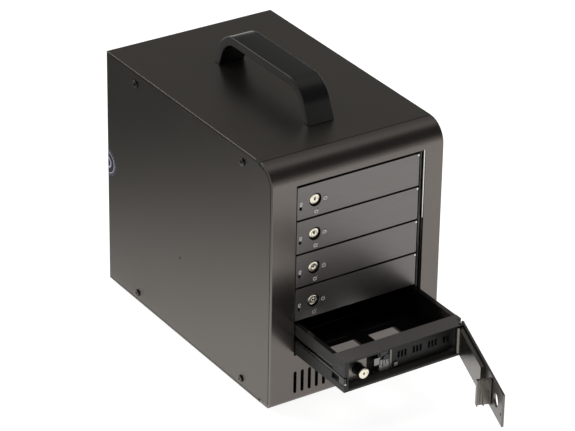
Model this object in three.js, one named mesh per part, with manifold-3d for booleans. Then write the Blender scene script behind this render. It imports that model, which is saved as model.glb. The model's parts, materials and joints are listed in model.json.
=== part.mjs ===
// A five-bay desktop network storage tower with a carry handle, in millimetres, +Z up.
// The case stands on four rubber feet. Five drive trays slide out of its front towards -Y, each with a
// swing-out lever, a turning lock and a catch that the lock moves. The lowest tray stands pulled out,
// with its lever open. Case pieces are drawn from the case's lower left front corner.

import * as THREE from 'three';
import { mergeVertices } from 'three/addons/utils/BufferGeometryUtils.js';
import Module from 'manifold-3d';

const wasm = await Module();
wasm.setup();

// ---- driving dimensions ----

const CASE = { width: 150, depth: 238, height: 200 };
const GAP = 0.4; // between neighbouring sheets
const SHEET = 1.2; // steel sheet of the covers, panels and cage
const PAST = 1; // how far a cutting tool runs past the surfaces that it opens
const MERGE = 0.5; // how far a piece reaches into the one that it joins
const BEZEL = { thickness: 3, brow: 17.2, toe: 5, foot: 14 }; // brow and toe are the outer bend radii
const OPENING = { x: [20.5, 134], z: [41, 182.5] }; // front opening that the trays slide through
const VENT = { count: 18, first: 22, pitch: 6.42, width: 2.7, z: [8.5, 26.8] };
const FLANGE = { inset: 1.6, height: 13, y: [30, 230] }; // folded edges that the side screws bite
const SCREW = {
  y: [41, 194], z: [7, 190], headRadius: 2.9, headHeight: 1.3, radius: 1.5, length: 5.5,
  crown: 0.75, crownDrop: 0.12, rim: 0.35, socket: 1.1, socketDepth: 0.9, // crown and rim: shares
};
const SCREW_HOLE = 1.9;
const PIN_HOLE = { y: 129, z: 69, radius: 0.9 };
const FOOT = { radius: 6.5, height: 3, x: [16, 134], y: [24, 222] };

const HANDLE = {
  x: 72.6, width: 22.6, thickness: 7.2, top: 229.8, bend: 25, chamfer: 2.4,
  feet: [47.2, 179.5], lean: THREE.MathUtils.degToRad(22),
};

const TRAY = {
  count: 5, pitch: 28, topCentre: 167.1, x: 21.1, recess: 0.6,
  width: 109.4, wall: 3.6, floor: 2, length: 158, low: -12.2, high: 12.9,
};
const CROSSBAR = { front: 2.6, face: 10, back: 17.6, wall: 2.4, rear: 2, top: 13.3, ledge: 1.5, lip: 1.8 };
const GROOVE = { depth: 1.6, z: [-2.2, 3.4], start: 18 };
const PIPE = { depth: 2.4, z: [-7.4, 0.4] }; // channel of the light pipe in a carrier's left wall
const FLOOR_HOLES = { x: [[25, 48], [60, 84]], y: [32, 59.5] };
const DETECTOR = { past: 3.8, width: 3.6, proud: 1, z: [-8.6, -4.6] }; // button to the right of the catch
const SLOT = [24.2, 30.8]; // pocket of the crossbar that the lever's hook enters
const CATCH = {
  x: [34.6, 44.2], y: [9.4, 14.8], z: [-9, 8.6],
  bolt: 31, boltY: [9.8, 11.8], boltZ: [-3, 3], boltMerge: 1,
  step: { right: 41.6, depth: 1.6, low: 1.4 }, window: { x: [37.2, 41.8], depth: 1, z: [-6.4, -2.4] },
  frame: 2.4, sideways: 0.4, around: 0.5, behind: 0.6, // the carrier's wall beside it and the room round it
};
const WINDOW = {
  count: 4, first: 51.8, pitch: 13.65, slots: 3, slotPitch: 3, slotWidth: 2, z: [-2.5, 3.2],
};
const HINGE = {
  x: 103.3, y: 4.3, pin: 0.95, pinEnd: 0.2, bore: 1.25, lug: 2, barrel: 3.2, neck: 0.4, notch: [98.6, 11.2],
};
const LEVER = {
  x: [0.4, 107.9], plate: 1.8, height: 26.6, beam: [44, 98], beamDepth: 5.4, z: [-10, 11.4],
};
const HOOK = { x: [26.6, 29], depth: 13.2, rib: 1.2, ribWidth: 1, ribs: [12.7, 7.8, 2.8], z: [-9.6, 11.4] };
const LOCK = {
  x: 16.2, radius: 4.3, face: 1, back: 16.4, hole: 4.8, leverHole: 5.2,
  keyway: 1, keywayDepth: 2.2, mark: { reach: 1.2, depth: 0.8, half: 0.35 },
};
const LED = { x: 3.5, z: -4.3, radius: 1.2 };
const OPEN_TRAY = { number: 5, out: 68.9, lever: THREE.MathUtils.degToRad(70) };

const CAGE = {
  left: 18.2, right: 132.4, y: [4, 170], z: [42.8, 183.2],
  ledge: [0.8, 2.8], ledgeDepth: 1.2, ledgeStart: 2,
};
const DECK = { z: [40.4, 41.6], x: [3.2, 146.8], y: [4, 231], slotX: [24, 50], slotY: [182, 204] };
const BACKPLANE = {
  x: [20, 131.6], y: [172, 173.6], z: [43.6, 183],
  plugX: [56, 98], plugY: 166, plugZ: [-9, -3], airX: [28, 123.6], airZ: [2, 11],
};
const BACK_PANEL = 234.8; // inner face of the back panel
const FAN = {
  x: 75, z: 128, size: 80, corner: 5, depth: 25, back: 234.4,
  bore: 37.8, screw: 35.75, screwHole: 2.2, hub: 18.5,
  seat: { rim: 1.5, depth: 5 }, arm: { half: 1.5, depth: [4, 1] }, // what carries the motor
  blade: { count: 7, clearance: 1.4, chord: 8, half: 0.9, pitch: 52, middle: 10 }, rotorGap: [1, 5.6],
};
const GUARD = { wire: 0.75, rings: [15, 26, 37], stand: 0.3 };
const PSU = { x: [60, 141], y: [84, 234.4], z: [2, 39.6], wall: 1, window: 2 };
const PSU_VENT = { count: 9, first: 68, pitch: 7.4, width: 4, z: [10, 31.6] };
const PSU_BOARD = {
  x: [63, 138], y: [90, 208], z: [6, 7.6], foot: { x: [98, 103], y: [150, 155], low: 3.3 },
};
const PSU_PARTS = {
  blocks: [{ x: [72, 104], y: [104, 136], top: 33 }, { x: [70, 74], y: [146, 200], top: 31 }],
  cans: [{ x: 122, y: 126, radius: 9, top: 32 }, { x: 122, y: 150, radius: 9, top: 32 }],
};
const INLET = {
  x: 122, z: 21, width: 27, height: 19.6, depth: 18, floor: 2, fit: 0.3,
  mouth: { width: 23, height: 15.4, corner: 4 },
  pins: { at: [[-7, -1.5], [0, 2], [7, -1.5]], half: [1, 2], short: 7 },
};
const ROCKER = {
  x: 96, z: 21, width: 9, height: 17, depth: 5, fit: 0.8, tilt: THREE.MathUtils.degToRad(7),
  proud: [0.9, 1.2, 2.2], tip: 0.6, root: 0.32, sunk: 0.4,
};
const BOARD = { z: [7, 8.6], front: [16, 78], x: [6, 144], tail: [6, 57], back: 231 };
const BOARD_PARTS = [
  { x: [62, 98], y: [26, 62], top: 20 }, // heat sink of the processor
  { x: [108, 138], y: [22, 30], top: 30 }, // memory module in its socket
  { x: [16, 34], y: [24, 34], top: 16 }, // coil and capacitors
  { x: [16, 44], y: [90, 120], top: 13 }, // storage controller
];
const FINS = { count: 5, first: 65, pitch: 6.5, width: 3, y: [25, 63], z: [12, 21] };
const POSTS = { radius: 2.6, at: [[10, 20], [140, 20], [10, 226], [140, 72]] };
const PORT = { front: 216, back: 236.8, mouth: 224 };
const PORTS = [
  { name: 'lan_port_1', x: 16, width: 16, height: 13.4, sockets: [[12, 9, 0]] },
  { name: 'lan_port_2', x: 33, width: 16, height: 13.4, sockets: [[12, 9, 0]] },
  { name: 'usb_port', x: 49.5, width: 14.4, height: 15.6, sockets: [[12.4, 5.2, 3.7], [12.4, 5.2, -3.7]] },
];

// ---- making solids ----

const X = new THREE.Vector3(1, 0, 0);
const Y = new THREE.Vector3(0, 1, 0);
const Z = new THREE.Vector3(0, 0, 1);
// Where an outline's two axes and its extrusion go: along x it lies in (y, z), along y in (x, z).
const FRAMES = {
  x: new THREE.Matrix4().makeBasis(Y, Z, X),
  y: new THREE.Matrix4().makeBasis(X, Z, Y.clone().negate()),
  z: new THREE.Matrix4().makeBasis(X, Y, Z),
};

function solid(geometry) {
  const flat = geometry.index ? geometry.toNonIndexed() : geometry;
  const bare = new THREE.BufferGeometry().setAttribute('position', flat.getAttribute('position'));
  const merged = mergeVertices(bare, 1e-4);
  return new wasm.Manifold(new wasm.Mesh({
    numProp: 3,
    vertProperties: merged.attributes.position.array,
    triVerts: new Uint32Array(merged.index.array),
  }));
}

function box([x0, x1], [y0, y1], [z0, z1]) {
  const geometry = new THREE.BoxGeometry(x1 - x0, y1 - y0, z1 - z0);
  return solid(geometry.translate((x0 + x1) / 2, (y0 + y1) / 2, (z0 + z1) / 2));
}

function extruded(outline, axis, [from, to], curveSegments = 6) {
  const depth = to - from;
  const geometry = new THREE.ExtrudeGeometry(outline, { depth, bevelEnabled: false, curveSegments });
  geometry.translate(0, 0, axis === 'y' ? -to : from);
  return solid(geometry.applyMatrix4(FRAMES[axis]));
}

function circle(centreU, centreV, radius, sides = 16) {
  const points = [];
  for (let i = 0; i < sides; i += 1) {
    const angle = (i + 0.5) * 2 * Math.PI / sides;
    const point = new THREE.Vector2(Math.cos(angle), Math.sin(angle)).multiplyScalar(radius);
    points.push(point.add(new THREE.Vector2(centreU, centreV)));
  }
  return new THREE.Shape(points);
}

function rod(axis, span, centreU, centreV, radius, sides = 16) {
  return extruded(circle(centreU, centreV, radius, sides), axis, span);
}

// An upright slot with round ends, in the plane across the y axis.
function stadium(centreX, width, [low, high]) {
  const radius = width / 2;
  const outline = new THREE.Shape();
  outline.absarc(centreX, high - radius, radius, 0, Math.PI, false);
  outline.absarc(centreX, low + radius, radius, Math.PI, 2 * Math.PI, false);
  return outline;
}

function rounded(halfWidth, halfHeight, radius) {
  const outline = new THREE.Shape();
  outline.absarc(halfWidth - radius, halfHeight - radius, radius, 0, Math.PI / 2, false);
  outline.absarc(radius - halfWidth, halfHeight - radius, radius, Math.PI / 2, Math.PI, false);
  outline.absarc(radius - halfWidth, radius - halfHeight, radius, Math.PI, 1.5 * Math.PI, false);
  outline.absarc(halfWidth - radius, radius - halfHeight, radius, 1.5 * Math.PI, 2 * Math.PI, false);
  return outline;
}

const spread = (centre, half) => [centre - half, centre + half];
const join = (first, ...others) => others.reduce((whole, piece) => whole.add(piece), first);
const cut = (first, ...others) => others.reduce((whole, piece) => whole.subtract(piece), first);

const FINISHES = {
  coat: { color: 0x2e2d2b, roughness: 0.5, metalness: 0.3 },
  face: { color: 0x3c3b3a, roughness: 0.42, metalness: 0.4 },
  steel: { color: 0x8d8f90, roughness: 0.4, metalness: 0.9 },
  nickel: { color: 0xd9d3c0, roughness: 0.25, metalness: 1 },
  plastic: { color: 0x1b1b1c, roughness: 0.55, metalness: 0 },
  rubber: { color: 0x151515, roughness: 0.9, metalness: 0 },
  board: { color: 0x0f4a2c, roughness: 0.5, metalness: 0.1 },
};

function mesh(name, shape, finish) {
  const made = shape.getMesh();
  const geometry = new THREE.BufferGeometry();
  geometry.setAttribute('position', new THREE.BufferAttribute(new Float32Array(made.vertProperties), 3));
  geometry.setIndex(new THREE.BufferAttribute(new Uint32Array(made.triVerts), 1));
  const piece = new THREE.Mesh(geometry, new THREE.MeshStandardMaterial(FINISHES[finish]));
  piece.name = name;
  return piece;
}

// ---- case covers ----

// The bezel's upper bend turns about this point of the (y, z) plane.
const BROW_CENTRE = [BEZEL.brow, CASE.height - BEZEL.brow];

function frontBezel() {
  const { thickness, brow, toe, foot } = BEZEL;
  const outline = new THREE.Shape();
  outline.moveTo(foot, 0);
  outline.lineTo(toe, 0);
  outline.absarc(toe, toe, toe, -Math.PI / 2, -Math.PI, true);
  outline.absarc(...BROW_CENTRE, brow, Math.PI, Math.PI / 2, true);
  outline.absarc(...BROW_CENTRE, brow - thickness, Math.PI / 2, Math.PI, false);
  outline.absarc(toe, toe, toe - thickness, Math.PI, 1.5 * Math.PI, false);
  outline.lineTo(foot, thickness);
  const through = [-PAST, thickness + PAST];
  const openings = [box(OPENING.x, through, OPENING.z)];
  for (let i = 0; i < VENT.count; i += 1) {
    const slot = stadium(VENT.first + i * VENT.pitch, VENT.width, VENT.z);
    openings.push(extruded(slot, 'y', through, 2));
  }
  return cut(extruded(outline, 'x', [0, CASE.width], 5), ...openings);
}

// Holes for the side screws through sheets that stand across the x axis.
function sideScrewHoles(heights) {
  const through = [-PAST, CASE.width + PAST];
  return heights.flatMap((z) => SCREW.y.map((y) => rod('x', through, y, z, SCREW_HOLE, 12)));
}

function flanges([low, high]) {
  const { inset, y } = FLANGE;
  const left = box([inset, inset + SHEET], y, [low, high]);
  const right = box([CASE.width - inset - SHEET, CASE.width - inset], y, [low, high]);
  return [left, right];
}

function topCover() {
  const top = box([0, CASE.width], [BEZEL.brow + GAP, CASE.depth], [CASE.height - SHEET, CASE.height]);
  const folds = flanges([CASE.height - FLANGE.height, CASE.height - SHEET / 2]);
  return cut(join(top, ...folds), ...sideScrewHoles([SCREW.z[1]]));
}

function bottomPlate() {
  const plate = box([0, CASE.width], [BEZEL.foot + GAP, CASE.depth], [0, SHEET]);
  const folds = flanges([SHEET / 2, FLANGE.height]);
  return cut(join(plate, ...folds), ...sideScrewHoles([SCREW.z[0]]));
}

// The side panels lie inside the edges of the bezel, the top cover and the bottom plate.
function sidePanel() {
  const { thickness, brow, toe, foot } = BEZEL;
  const edge = thickness + GAP;
  const low = SHEET + GAP;
  const outline = new THREE.Shape();
  outline.moveTo(CASE.depth, low);
  outline.lineTo(foot + 2 * GAP, low);
  outline.lineTo(foot + 2 * GAP, edge);
  outline.absarc(toe, toe, toe - edge, -Math.PI / 2, -Math.PI, true);
  outline.absarc(...BROW_CENTRE, brow - edge, Math.PI, Math.PI / 2, true);
  outline.lineTo(brow + 2 * GAP, CASE.height - edge);
  outline.lineTo(brow + 2 * GAP, CASE.height - low);
  outline.lineTo(CASE.depth, CASE.height - low);
  const panel = extruded(outline, 'x', [0, SHEET], 5);
  const pinHole = rod('x', [-PAST, SHEET + PAST], PIN_HOLE.y, PIN_HOLE.z, PIN_HOLE.radius, 8);
  return cut(panel, pinHole, ...sideScrewHoles(SCREW.z));
}

function backPanel() {
  const inset = FLANGE.inset;
  const sheet = [BACK_PANEL, BACK_PANEL + SHEET];
  const through = [BACK_PANEL - PAST, BACK_PANEL + SHEET + PAST];
  const panel = box([inset, CASE.width - inset], sheet, [inset, CASE.height - inset]);
  const within = ([low, high]) => [low + PSU.window, high - PSU.window];
  const psuWindow = box(within(PSU.x), through, within(PSU.z));
  const portWindows = PORTS.map(({ x, width, height }) => {
    return box(spread(x, width / 2 + GAP), through, [BOARD.z[1], BOARD.z[1] + height + 2 * GAP]);
  });
  const fanHole = rod('y', through, FAN.x, FAN.z, FAN.bore, 32);
  return cut(panel, fanHole, psuWindow, ...portWindows, ...fanScrewHoles(through));
}

function screw() {
  const { headRadius, headHeight, radius, length, crown, crownDrop, rim, socket, socketDepth } = SCREW;
  const top = GAP + headHeight;
  const profile = [
    [0, -length], [radius, -length], [radius, GAP], [headRadius, GAP], [headRadius, GAP + rim * headHeight],
    [crown * headRadius, top - crownDrop], [socket, top],
    [socket, top - socketDepth], [0, top - socketDepth],
  ].map(([across, along]) => new THREE.Vector2(across, along));
  return solid(new THREE.LatheGeometry(profile, 10));
}

function foot() {
  return rod('z', [-FOOT.height, -GAP], 0, 0, FOOT.radius, 20);
}

// The handle is a thick strap along y, an arch whose legs lean, with its long edges chamfered.
function carryHandle() {
  const { x, width, thickness, chamfer, top, bend, feet, lean } = HANDLE;
  const low = CASE.height + GAP;
  const across = thickness / Math.cos(lean);
  const inset = (top - low) * Math.tan(lean) + bend * Math.tan((Math.PI / 2 - lean) / 2);
  const [front, rear] = feet;
  const frontCentre = [front + inset, top - bend];
  const rearCentre = [rear - inset, top - bend];
  const outline = new THREE.Shape();
  outline.moveTo(rear - across, low);
  outline.lineTo(rear, low);
  outline.absarc(...rearCentre, bend, lean, Math.PI / 2, false);
  outline.absarc(...frontCentre, bend, Math.PI / 2, Math.PI - lean, false);
  outline.lineTo(front, low);
  outline.lineTo(front + across, low);
  outline.absarc(...frontCentre, bend - thickness, Math.PI - lean, Math.PI / 2, true);
  outline.absarc(...rearCentre, bend - thickness, Math.PI / 2, lean, true);
  const geometry = new THREE.ExtrudeGeometry(outline, {
    depth: width - 2 * chamfer,
    curveSegments: 4,
    bevelSegments: 1,
    bevelThickness: chamfer,
    bevelSize: chamfer,
    bevelOffset: -chamfer,
  });
  geometry.translate(0, 0, x - width / 2 + chamfer);
  return solid(geometry.applyMatrix4(FRAMES.x));
}

// ---- drive cage and electronics ----

const trayCentre = (number) => TRAY.topCentre - (number - 1) * TRAY.pitch;
const TRAY_NUMBERS = Array.from({ length: TRAY.count }, (_, i) => i + 1);

// A wall of the drive cage, with a ledge for the groove of each tray; reach is the ledges' x span.
function cageWall(wall, reach) {
  const ledges = TRAY_NUMBERS.map((number) => {
    const centre = trayCentre(number);
    const span = [centre + CAGE.ledge[0], centre + CAGE.ledge[1]];
    return box(reach, [TRAY.recess + GROOVE.start + CAGE.ledgeStart, CAGE.y[1]], span);
  });
  return join(box(wall, CAGE.y, CAGE.z), ...ledges);
}

function cageLeftWall() {
  const wall = [CAGE.left, CAGE.left + SHEET];
  return cageWall(wall, [CAGE.left + SHEET / 2, TRAY.x + CAGE.ledgeDepth]);
}

function cageRightWall() {
  const wall = [CAGE.right, CAGE.right + SHEET];
  return cageWall(wall, [TRAY.x + TRAY.width - CAGE.ledgeDepth, CAGE.right + SHEET / 2]);
}

function cageTop() {
  const low = CAGE.z[1] + GAP;
  return box([CAGE.left, CAGE.right + SHEET], CAGE.y, [low, low + SHEET]);
}

function cageFloor() {
  const deck = box(DECK.x, DECK.y, DECK.z);
  const cableSlot = box(DECK.slotX, DECK.slotY, [DECK.z[0] - PAST, DECK.z[1] + PAST]);
  return cut(deck, cableSlot);
}

const above = (centre, [low, high]) => [centre + low, centre + high];

function backplane() {
  const { x, y, z, plugX, plugY, plugZ, airX, airZ } = BACKPLANE;
  const board = box(x, y, z);
  const centres = TRAY_NUMBERS.map(trayCentre);
  const plugs = centres.map((centre) => box(plugX, [plugY, y[0] + MERGE], above(centre, plugZ)));
  const through = [y[0] - PAST, y[1] + PAST];
  const airHoles = centres.map((centre) => box(airX, through, above(centre, airZ)));
  return join(cut(board, ...airHoles), ...plugs);
}

function mainBoard() {
  const { z, front, x, tail, back } = BOARD;
  const plate = join(box(x, front, z), box(tail, [front[1] - MERGE, back], z));
  const parts = BOARD_PARTS.map((part) => box(part.x, part.y, [z[1] - MERGE, part.top]));
  const gaps = Array.from({ length: FINS.count }, (_, i) => {
    const left = FINS.first + i * FINS.pitch;
    return box([left, left + FINS.width], FINS.y, FINS.z);
  });
  const posts = POSTS.at.map(([px, py]) => rod('z', [SHEET + GAP, z[0] + MERGE], px, py, POSTS.radius, 10));
  return join(cut(join(plate, ...parts), ...gaps), ...posts);
}

function port({ x, width, height, sockets }) {
  const low = BOARD.z[1] + GAP;
  const middle = low + height / 2;
  const shell = box(spread(x, width / 2), [PORT.front, PORT.back], [low, low + height]);
  const mouths = sockets.map(([across, up, rise]) => (
    box(spread(x, across / 2), [PORT.mouth, CASE.depth], spread(middle + rise, up / 2))
  ));
  return cut(shell, ...mouths);
}

// ---- fan ----

function fanScrewHoles(through) {
  const corners = [[-1, -1], [-1, 1], [1, -1], [1, 1]];
  const { x, z, screw: reach, screwHole } = FAN;
  return corners.map(([sx, sz]) => rod('y', through, x + sx * reach, z + sz * reach, screwHole, 12));
}

function fanFrame() {
  const { x, z, size, corner, depth, bore, back, seat, arm } = FAN;
  const front = back - depth;
  const through = [front - PAST, back + PAST];
  const square = extruded(rounded(size / 2, size / 2, corner), 'y', [front, back], 3).translate([x, 0, z]);
  const duct = rod('y', through, x, z, bore, 32);
  const armDepth = [back - arm.depth[0], back - arm.depth[1]];
  const spider = [
    rod('y', [back - seat.depth, back], x, z, FAN.hub + seat.rim, 24),
    box(spread(x, bore + MERGE), armDepth, spread(z, arm.half)),
    box(spread(x, arm.half), armDepth, spread(z, bore + MERGE)),
  ];
  return join(cut(square, duct, ...fanScrewHoles(through)), ...spider);
}

function fanRotor() {
  const { depth, hub, bore, back, blade, rotorGap } = FAN;
  const front = back - depth;
  const wheel = [rod('y', [front + rotorGap[0], back - rotorGap[1]], 0, 0, hub, 24)];
  for (let i = 0; i < blade.count; i += 1) {
    const flat = box([hub - MERGE, bore - blade.clearance], spread(0, blade.chord), spread(0, blade.half));
    const pitched = flat.rotate([blade.pitch, 0, 0]).translate([0, front + blade.middle, 0]);
    wheel.push(pitched.rotate([0, i * 360 / blade.count, 0]));
  }
  return join(...wheel);
}

function fanGuard() {
  const { wire, rings, stand } = GUARD;
  const plane = BACK_PANEL + SHEET + wire + stand;
  const ring = (radius) => {
    const bead = circle(radius, 0, wire, 5).getPoints();
    return solid(new THREE.LatheGeometry([...bead, bead[0]], 24));
  };
  const legs = [45, 135].map((turn) => {
    const leg = rod('x', spread(0, FAN.screw * Math.SQRT2), 0, 0, wire, 6);
    return leg.rotate([0, turn, 0]);
  });
  return join(...rings.map(ring), ...legs).translate([FAN.x, plane, FAN.z]);
}

// ---- power supply ----

function psuCase() {
  const { x, y, z, wall } = PSU;
  const inside = ([from, to]) => [from + wall, to - wall];
  const frontWall = [y[0] - PAST, y[0] + wall + PAST];
  const rearWall = [y[1] - wall - PAST, y[1] + PAST];
  const openings = [box(inside(x), inside(y), inside(z))];
  for (let i = 0; i < PSU_VENT.count; i += 1) {
    const left = PSU_VENT.first + i * PSU_VENT.pitch;
    openings.push(box([left, left + PSU_VENT.width], frontWall, PSU_VENT.z));
  }
  for (const { x: across, z: up, width, height, fit } of [INLET, ROCKER]) {
    openings.push(box(spread(across, width / 2 + fit), rearWall, spread(up, height / 2 + fit)));
  }
  return cut(box(x, y, z), ...openings);
}

function psuBoard() {
  const { x, y, z, foot: prop } = PSU_BOARD;
  const low = z[1] - MERGE;
  const blocks = PSU_PARTS.blocks.map((part) => box(part.x, part.y, [low, part.top]));
  const cans = PSU_PARTS.cans.map((can) => rod('z', [low, can.top], can.x, can.y, can.radius, 16));
  return join(box(x, y, z), box(prop.x, prop.y, [prop.low, z[0] + MERGE]), ...blocks, ...cans);
}

// The mains inlet: a housing with a socket that has its two lower corners cut off, and three flat pins.
function powerInlet() {
  const { x, z, width, height, depth, floor, mouth, pins } = INLET;
  const back = PSU.y[1];
  const half = mouth.width / 2;
  const rise = mouth.height / 2;
  const outline = new THREE.Shape();
  outline.moveTo(x - half, z + rise);
  outline.lineTo(x - half, z - rise + mouth.corner);
  outline.lineTo(x - half + mouth.corner, z - rise);
  outline.lineTo(x + half - mouth.corner, z - rise);
  outline.lineTo(x + half, z - rise + mouth.corner);
  outline.lineTo(x + half, z + rise);
  const housing = box(spread(x, width / 2), [back - depth, back + SHEET], spread(z, height / 2));
  const socket = extruded(outline, 'y', [back - depth + floor, back + SHEET + PAST]);
  const pinSpan = [back - depth + floor - MERGE, back - pins.short];
  const blades = pins.at.map(([dx, dz]) => (
    box(spread(x + dx, pins.half[0]), pinSpan, spread(z + dz, pins.half[1]))
  ));
  return join(cut(housing, socket), ...blades);
}

// The rocker tips about the x axis through its middle; it stands with its upper half pressed in.
function powerRocker() {
  const { width, height, depth, proud, tip, root } = ROCKER;
  const [waist, shoulder, crest] = proud;
  const half = height / 2;
  const outline = new THREE.Shape();
  outline.moveTo(-depth, -height * root);
  outline.lineTo(shoulder, -half);
  outline.lineTo(crest, tip - half);
  outline.lineTo(waist, 0);
  outline.lineTo(crest, half - tip);
  outline.lineTo(shoulder, half);
  outline.lineTo(-depth, height * root);
  return extruded(outline, 'x', spread(0, width / 2));
}

// ---- drive tray, from the lower left front corner of its closed lever; z from its middle ----

// The end of the ledge or the sill, with a round-ended lug that holds one end of the hinge pin.
function hingeLug(heights) {
  const { x, y, lug, notch } = HINGE;
  const [left, depth] = notch;
  const web = box([left - MERGE, x], [CROSSBAR.front, depth + MERGE], heights);
  const stem = box(spread(x, lug), [y, depth + MERGE], heights);
  return join(rod('z', heights, x, y, lug, 12), stem, web);
}

function windowSlots() {
  const slots = [];
  for (let i = 0; i < WINDOW.count * WINDOW.slots; i += 1) {
    const group = Math.floor(i / WINDOW.slots);
    const left = WINDOW.first + group * WINDOW.pitch + (i % WINDOW.slots) * WINDOW.slotPitch;
    const right = left + WINDOW.slotWidth;
    if (right < HINGE.notch[0]) {
      const depth = [CROSSBAR.face - PAST, CROSSBAR.face + CROSSBAR.wall + PAST];
      slots.push(box([left, right], depth, WINDOW.z));
    }
  }
  return slots;
}

function carrier() {
  const { width, wall, floor, length, low, high } = TRAY;
  const { front, face, back, wall: faceWall, rear, top, ledge, lip } = CROSSBAR;
  const tall = [low, top - ledge / 2];
  const catchRight = CATCH.x[1] + CATCH.frame;
  const detectorLeft = CATCH.x[1] + DETECTOR.past;
  const shelf = [top - ledge, top];
  const sill = [low, low + lip];
  const body = join(
    box([0, width], [back - rear, length], [low, low + floor]),
    box([0, wall], [front, length], [low, high]),
    box([width - wall, width], [front, length], [low, high]),
    box([0, width], [front, back], shelf),
    box([0, width], [front, back], sill),
    box([0, SLOT[0]], [face, back], tall), // block that holds the lock
    box([SLOT[0] - MERGE, SLOT[1] + MERGE], [back - rear, back], tall),
    box([SLOT[1], catchRight], [face, back], tall),
    box([catchRight - MERGE, width], [face, face + faceWall], tall),
    box([detectorLeft, detectorLeft + DETECTOR.width], [face - DETECTOR.proud, face + MERGE], DETECTOR.z),
  );
  const catchRoom = [CATCH.z[0] - CATCH.around, CATCH.z[1] + CATCH.around];
  const grooveSpan = [GROOVE.start, length + PAST];
  const underside = [low - PAST, low + floor + PAST];
  const cuts = [
    box([HINGE.notch[0], width + PAST], [front - PAST, HINGE.notch[1]], [low - PAST, top + PAST]),
    box(SLOT, [front, back - rear], [sill[1], shelf[0]]),
    box([SLOT[1] - PAST, CATCH.x[1] + CATCH.sideways], [face - PAST, CATCH.y[1] + CATCH.behind], catchRoom),
    box([-PAST, GROOVE.depth], grooveSpan, GROOVE.z),
    box([width - GROOVE.depth, width + PAST], grooveSpan, GROOVE.z),
    box([-PAST, PIPE.depth], [front - PAST, GROOVE.start + PAST], PIPE.z),
    rod('y', [face - PAST, back + PAST], LOCK.x, 0, LOCK.hole, 16),
    ...FLOOR_HOLES.x.map((span) => box(span, FLOOR_HOLES.y, underside)),
    ...windowSlots(),
  ];
  const lugs = [hingeLug(shelf), hingeLug(sill)];
  const bore = rod('z', [low - PAST, top + PAST], HINGE.x, HINGE.y, HINGE.bore, 12);
  return cut(join(cut(body, ...cuts), ...lugs), bore);
}

// The lever in its closed place: a face plate, a stiffening beam, a barrel round the pin and a hook.
function lever() {
  const { x, plate, height, beam, beamDepth, z } = LEVER;
  const root = plate / 2;
  const behindPlate = [-PAST, plate + PAST];
  const hookRibs = HOOK.ribs.map((depth) => (
    box([HOOK.x[0] - HOOK.rib, HOOK.x[0] + MERGE], spread(depth, HOOK.ribWidth / 2), [z[0], HOOK.z[1]])
  ));
  const body = join(
    box(x, [0, plate], spread(0, height / 2)),
    box(beam, [root, beamDepth], z),
    box([beam[1] - MERGE, HINGE.x], [root, HINGE.y + HINGE.neck], z),
    rod('z', z, HINGE.x, HINGE.y, HINGE.barrel, 16),
    box(HOOK.x, [root, HOOK.depth], HOOK.z),
    ...hookRibs,
  );
  const boltRoom = ([low, high]) => [low - GAP, high + GAP];
  const hookSpan = [HOOK.x[0] - HOOK.rib - PAST, HOOK.x[1] + PAST];
  const cuts = [
    rod('z', spread(0, height), HINGE.x, HINGE.y, HINGE.bore, 12),
    rod('y', behindPlate, LOCK.x, 0, LOCK.leverHole, 18),
    rod('y', behindPlate, LED.x, LED.z, LED.radius, 10),
    box(hookSpan, boltRoom(CATCH.boltY), boltRoom(CATCH.boltZ)),
  ];
  return cut(body, ...cuts).translate([-HINGE.x, -HINGE.y, 0]);
}

function lock() {
  const { radius, face, back, keyway, keywayDepth, mark } = LOCK;
  const barrel = rod('y', [face, back], 0, 0, radius, 18);
  const hole = rod('y', [face - PAST, face + keywayDepth], 0, 0, keyway, 8);
  const markDepth = [face - PAST, face + mark.depth];
  const groove = box([keyway / 2, keyway + mark.reach], markDepth, spread(0, mark.half));
  return cut(barrel, hole, groove);
}

function catchSlide() {
  const { x, y, z, bolt, boltY, boltZ, boltMerge, step, window } = CATCH;
  const upper = box([x[0] - PAST, step.right], [y[0] - PAST, y[0] + step.depth], [step.low, z[1] + PAST]);
  const recess = box(window.x, [y[0] - PAST, y[0] + window.depth], window.z);
  return join(cut(box(x, y, z), upper, recess), box([bolt, x[0] + boltMerge], boltY, boltZ));
}

function hingePin() {
  return rod('z', [TRAY.low + HINGE.pinEnd, CROSSBAR.top - HINGE.pinEnd], 0, 0, HINGE.pin, 12);
}

function tray(number) {
  const open = number === OPEN_TRAY.number;
  const group = new THREE.Group();
  const name = (piece) => `tray_${number}_${piece}`;
  const leverMesh = mesh(name('lever'), lever(), 'face');
  leverMesh.position.set(HINGE.x, HINGE.y, 0);
  leverMesh.rotation.z = open ? OPEN_TRAY.lever : 0;
  const lockMesh = mesh(name('lock'), lock(), 'nickel');
  lockMesh.position.x = LOCK.x;
  const pinMesh = mesh(name('hinge_pin'), hingePin(), 'steel');
  pinMesh.position.set(HINGE.x, HINGE.y, 0);
  group.add(mesh(name('carrier'), carrier(), 'plastic'), leverMesh, lockMesh, pinMesh);
  group.add(mesh(name('catch'), catchSlide(), 'steel'));
  group.position.set(TRAY.x, TRAY.recess - (open ? OPEN_TRAY.out : 0), trayCentre(number));
  return group;
}

// ---- the whole tower ----

const tower = new THREE.Group();

function place(name, shape, finish, x = 0, y = 0, z = 0) {
  const piece = mesh(name, shape, finish);
  piece.position.set(x, y, z);
  tower.add(piece);
  return piece;
}

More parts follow.
